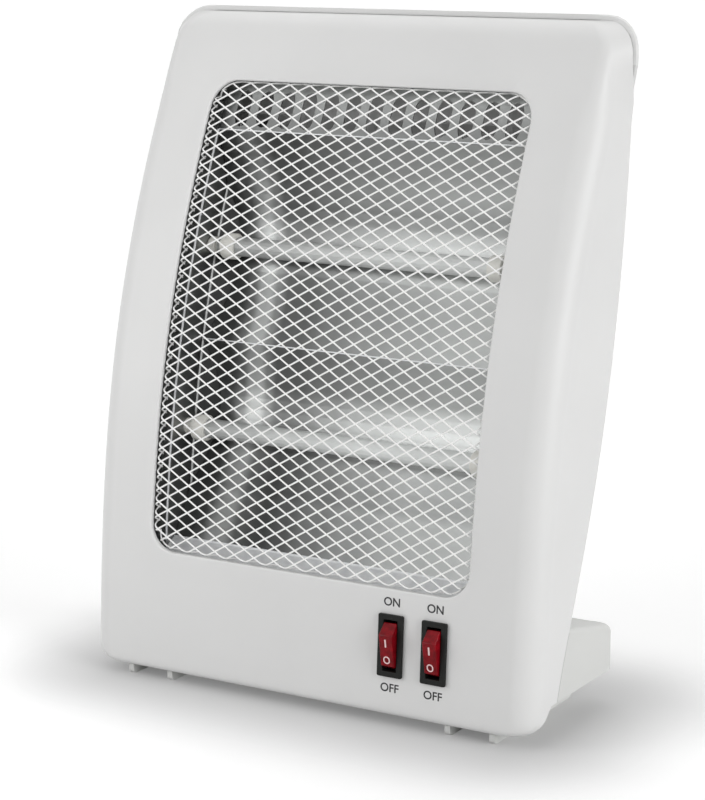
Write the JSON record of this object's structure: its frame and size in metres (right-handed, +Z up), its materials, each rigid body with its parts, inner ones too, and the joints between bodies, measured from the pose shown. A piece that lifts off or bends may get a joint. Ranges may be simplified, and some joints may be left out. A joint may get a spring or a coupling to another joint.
{
  "type": "quartz heater",
  "caption": "Swept-back table heater with a diamond wire guard over quartz tubes, rocker switches in the front panel and a low rear stand.",
  "frame": {"origin": "middle of the heater's footprint on the floor, under the middle of its bounding box", "axes": "+X to the right seen from the front, +Y to the back, +Z up; the guard and switches face -Y"},
  "size_m": [0.266, 0.1102, 0.3395],
  "materials": {
    "case_plastic": "fine satin moulding",
    "stand_plastic": "fine satin moulding",
    "guard_wire": "white coated steel mesh",
    "reflector": "bright rolled sheet",
    "quartz": "milky frosted quartz",
    "ceramic": "unglazed white ceramic",
    "coil_wire": "oxidised resistance wire",
    "black_plastic": "satin black moulding",
    "red_plastic": "translucent red, polished",
    "steel": "zinc plated"
  },
  "bodies": {
    "case": {"front_shell": "case_plastic", "rear_cover": "case_plastic", "rear_stand": "stand_plastic", "base_plate": "stand_plastic", "wire_guard": "guard_wire", "reflector_back": "reflector", "reflector_top_plate": "reflector", "reflector_apron": "reflector", "reflector_end_left": "reflector", "reflector_end_right": "reflector", "cable_gland": "black_plastic", "tip_switch_body": "black_plastic", "terminal_block": "ceramic", "thermal_cutout": "steel", "cover_screw_lower_left": "steel", "cover_screw_upper_left": "steel", "cover_screw_lower_right": "steel", "cover_screw_upper_right": "steel", "base_screw_front_left": "steel", "base_screw_rear_left": "steel", "base_screw_front_right": "steel", "base_screw_rear_right": "steel", "quartz_tube_upper": "quartz", "quartz_tube_lower": "quartz", "heating_coil_upper": "coil_wire", "heating_coil_lower": "coil_wire", "ceramic_cap_upper_left": "ceramic", "ceramic_cap_upper_right": "ceramic", "ceramic_cap_lower_left": "ceramic", "ceramic_cap_lower_right": "ceramic", "switch_housing_left": "black_plastic", "switch_housing_right": "black_plastic"},
    "left_rocker": {"switch_rocker_left": "red_plastic"},
    "right_rocker": {"switch_rocker_right": "red_plastic"},
    "plunger": {"tip_plunger": "black_plastic"}
  },
  "joints": [
    {"name": "left_rocker_turn", "type": "hinge", "parent": "case", "child": "left_rocker", "pos_m": [0.0523, -0.04548, 0.04091], "axis": [-1, 0, 0], "range_deg": [0, 24]},
    {"name": "right_rocker_turn", "type": "hinge", "parent": "case", "child": "right_rocker", "pos_m": [0.0765, -0.04548, 0.04091], "axis": [-1, 0, 0], "range_deg": [0, 24]},
    {"name": "tip_plunger_travel", "type": "slide", "parent": "case", "child": "plunger", "axis": [0, 0, -1], "range_m": [0, 0.004], "stiffness_N_per_m": 50, "springref_m": 0.008}
  ]
}
